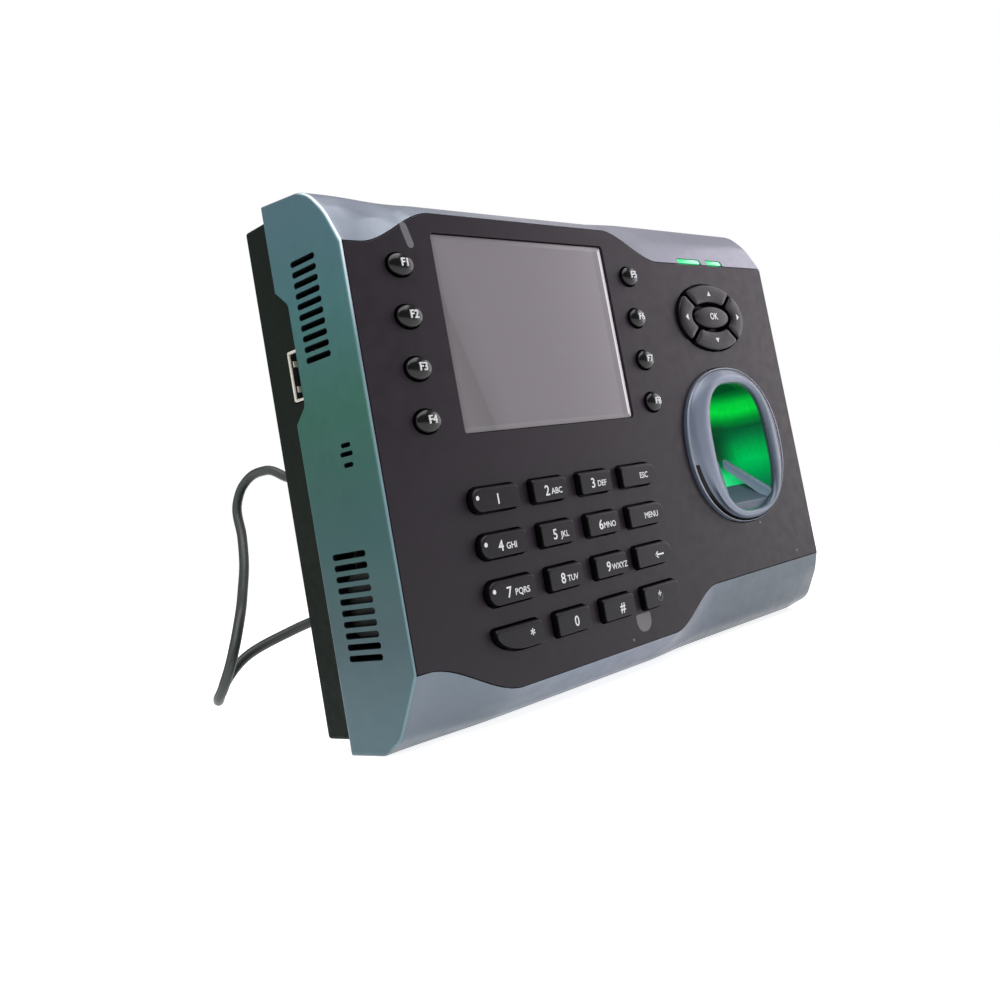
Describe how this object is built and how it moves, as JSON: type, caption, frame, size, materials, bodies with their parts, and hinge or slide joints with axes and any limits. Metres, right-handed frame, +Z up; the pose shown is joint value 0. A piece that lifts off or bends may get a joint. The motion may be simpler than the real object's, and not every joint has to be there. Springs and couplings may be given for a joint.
{
  "type": "fingerprint time terminal",
  "caption": "Landscape fingerprint and keypad terminal with display, navigation keys, oval finger reader, side vents and wall plate, with its power lead and adapter.",
  "frame": {"origin": "centre of the terminal's footprint, on the surface that its flat underside stands on", "axes": "+X to the right as the keys are read, +Y from the front face to the wall plate, +Z up"},
  "size_m": [0.2137, 0.0991, 0.1451],
  "materials": {
    "silver_paint": "satin metallic teal-silver paint on moulded housing",
    "black_panel": "fine satin black film",
    "key_black": "glossy black caps with printed legends",
    "screen_glass": "clear grey window, glossy",
    "dark_moulding": "matt black moulding",
    "key_silicone": "grey silicone",
    "board_green": "green board laminate",
    "bezel_silver": "satin blue-silver paint",
    "lens_green": "clear lens lit green from within",
    "light_green": "lit green light pipe",
    "rear_black": "fine-textured black moulding",
    "steel": "plain steel",
    "cord_black": "smooth black cord jacket and overmould",
    "adapter_black": "fine-textured black housing",
    "tie_black": "black strap"
  },
  "bodies": {
    "root": {"front_shell": "silver_paint", "front_panel": "black_panel", "display_window": "screen_glass", "display_module": "dark_moulding", "key_mat": "key_silicone", "key_board": "board_green", "scanner_bezel": "bezel_silver", "scanner_shroud": "dark_moulding", "finger_guide": "bezel_silver", "scanner_prism": "lens_green", "scanner_board": "board_green", "status_light_left": "light_green", "status_light_right": "light_green", "rear_shell": "rear_black", "wall_plate": "steel", "plate_screw_left": "steel", "plate_screw_right": "steel", "main_board": "board_green", "usb_socket": "steel", "network_socket": "dark_moulding", "power_socket": "dark_moulding", "speaker": "dark_moulding", "power_plug": "cord_black", "power_cord": "cord_black", "cord_coil": "cord_black", "cord_tail": "cord_black", "cord_tie": "tie_black", "power_adapter": "adapter_black", "adapter_pin_left": "steel", "adapter_pin_right": "steel"},
    "key_f1": {"key_f1": "key_black"},
    "key_f2": {"key_f2": "key_black"},
    "key_f3": {"key_f3": "key_black"},
    "key_f4": {"key_f4": "key_black"},
    "key_side_1": {"key_side_1": "key_black"},
    "key_side_2": {"key_side_2": "key_black"},
    "key_side_3": {"key_side_3": "key_black"},
    "key_side_4": {"key_side_4": "key_black"},
    "key_up": {"key_up": "key_black"},
    "key_down": {"key_down": "key_black"},
    "key_left": {"key_left": "key_black"},
    "key_right": {"key_right": "key_black"},
    "key_ok": {"key_ok": "key_black"},
    "key_1": {"key_1": "key_black"},
    "key_2": {"key_2": "key_black"},
    "key_3": {"key_3": "key_black"},
    "key_esc": {"key_esc": "key_black"},
    "key_4": {"key_4": "key_black"},
    "key_5": {"key_5": "key_black"},
    "key_6": {"key_6": "key_black"},
    "key_menu": {"key_menu": "key_black"},
    "key_7": {"key_7": "key_black"},
    "key_8": {"key_8": "key_black"},
    "key_9": {"key_9": "key_black"},
    "key_dash": {"key_dash": "key_black"},
    "key_star": {"key_star": "key_black"},
    "key_0": {"key_0": "key_black"},
    "key_hash": {"key_hash": "key_black"},
    "key_power": {"key_power": "key_black"}
  },
  "joints": [
    {"name": "key_f1_press", "type": "slide", "parent": "root", "child": "key_f1", "axis": [0, 1, 0], "range_m": [0, 0.001], "stiffness_N_per_m": 300},
    {"name": "key_f2_press", "type": "slide", "parent": "root", "child": "key_f2", "axis": [0, 1, 0], "range_m": [0, 0.001], "stiffness_N_per_m": 300},
    {"name": "key_f3_press", "type": "slide", "parent": "root", "child": "key_f3", "axis": [0, 1, 0], "range_m": [0, 0.001], "stiffness_N_per_m": 300},
    {"name": "key_f4_press", "type": "slide", "parent": "root", "child": "key_f4", "axis": [0, 1, 0], "range_m": [0, 0.001], "stiffness_N_per_m": 300},
    {"name": "key_side_1_press", "type": "slide", "parent": "root", "child": "key_side_1", "axis": [0, 1, 0], "range_m": [0, 0.001], "stiffness_N_per_m": 300},
    {"name": "key_side_2_press", "type": "slide", "parent": "root", "child": "key_side_2", "axis": [0, 1, 0], "range_m": [0, 0.001], "stiffness_N_per_m": 300},
    {"name": "key_side_3_press", "type": "slide", "parent": "root", "child": "key_side_3", "axis": [0, 1, 0], "range_m": [0, 0.001], "stiffness_N_per_m": 300},
    {"name": "key_side_4_press", "type": "slide", "parent": "root", "child": "key_side_4", "axis": [0, 1, 0], "range_m": [0, 0.001], "stiffness_N_per_m": 300},
    {"name": "key_up_press", "type": "slide", "parent": "root", "child": "key_up", "axis": [0, 1, 0], "range_m": [0, 0.001], "stiffness_N_per_m": 300},
    {"name": "key_down_press", "type": "slide", "parent": "root", "child": "key_down", "axis": [0, 1, 0], "range_m": [0, 0.001], "stiffness_N_per_m": 300},
    {"name": "key_left_press", "type": "slide", "parent": "root", "child": "key_left", "axis": [0, 1, 0], "range_m": [0, 0.001], "stiffness_N_per_m": 300},
    {"name": "key_right_press", "type": "slide", "parent": "root", "child": "key_right", "axis": [0, 1, 0], "range_m": [0, 0.001], "stiffness_N_per_m": 300},
    {"name": "key_ok_press", "type": "slide", "parent": "root", "child": "key_ok", "axis": [0, 1, 0], "range_m": [0, 0.001], "stiffness_N_per_m": 300},
    {"name": "key_1_press", "type": "slide", "parent": "root", "child": "key_1", "axis": [0, 1, 0], "range_m": [0, 0.001], "stiffness_N_per_m": 300},
    {"name": "key_2_press", "type": "slide", "parent": "root", "child": "key_2", "axis": [0, 1, 0], "range_m": [0, 0.001], "stiffness_N_per_m": 300},
    {"name": "key_3_press", "type": "slide", "parent": "root", "child": "key_3", "axis": [0, 1, 0], "range_m": [0, 0.001], "stiffness_N_per_m": 300},
    {"name": "key_esc_press", "type": "slide", "parent": "root", "child": "key_esc", "axis": [0, 1, 0], "range_m": [0, 0.001], "stiffness_N_per_m": 300},
    {"name": "key_4_press", "type": "slide", "parent": "root", "child": "key_4", "axis": [0, 1, 0], "range_m": [0, 0.001], "stiffness_N_per_m": 300},
    {"name": "key_5_press", "type": "slide", "parent": "root", "child": "key_5", "axis": [0, 1, 0], "range_m": [0, 0.001], "stiffness_N_per_m": 300},
    {"name": "key_6_press", "type": "slide", "parent": "root", "child": "key_6", "axis": [0, 1, 0], "range_m": [0, 0.001], "stiffness_N_per_m": 300},
    {"name": "key_menu_press", "type": "slide", "parent": "root", "child": "key_menu", "axis": [0, 1, 0], "range_m": [0, 0.001], "stiffness_N_per_m": 300},
    {"name": "key_7_press", "type": "slide", "parent": "root", "child": "key_7", "axis": [0, 1, 0], "range_m": [0, 0.001], "stiffness_N_per_m": 300},
    {"name": "key_8_press", "type": "slide", "parent": "root", "child": "key_8", "axis": [0, 1, 0], "range_m": [0, 0.001], "stiffness_N_per_m": 300},
    {"name": "key_9_press", "type": "slide", "parent": "root", "child": "key_9", "axis": [0, 1, 0], "range_m": [0, 0.001], "stiffness_N_per_m": 300},
    {"name": "key_dash_press", "type": "slide", "parent": "root", "child": "key_dash", "axis": [0, 1, 0], "range_m": [0, 0.001], "stiffness_N_per_m": 300},
    {"name": "key_star_press", "type": "slide", "parent": "root", "child": "key_star", "axis": [0, 1, 0], "range_m": [0, 0.001], "stiffness_N_per_m": 300},
    {"name": "key_0_press", "type": "slide", "parent": "root", "child": "key_0", "axis": [0, 1, 0], "range_m": [0, 0.001], "stiffness_N_per_m": 300},
    {"name": "key_hash_press", "type": "slide", "parent": "root", "child": "key_hash", "axis": [0, 1, 0], "range_m": [0, 0.001], "stiffness_N_per_m": 300},
    {"name": "key_power_press", "type": "slide", "parent": "root", "child": "key_power", "axis": [0, 1, 0], "range_m": [0, 0.001], "stiffness_N_per_m": 300}
  ]
}
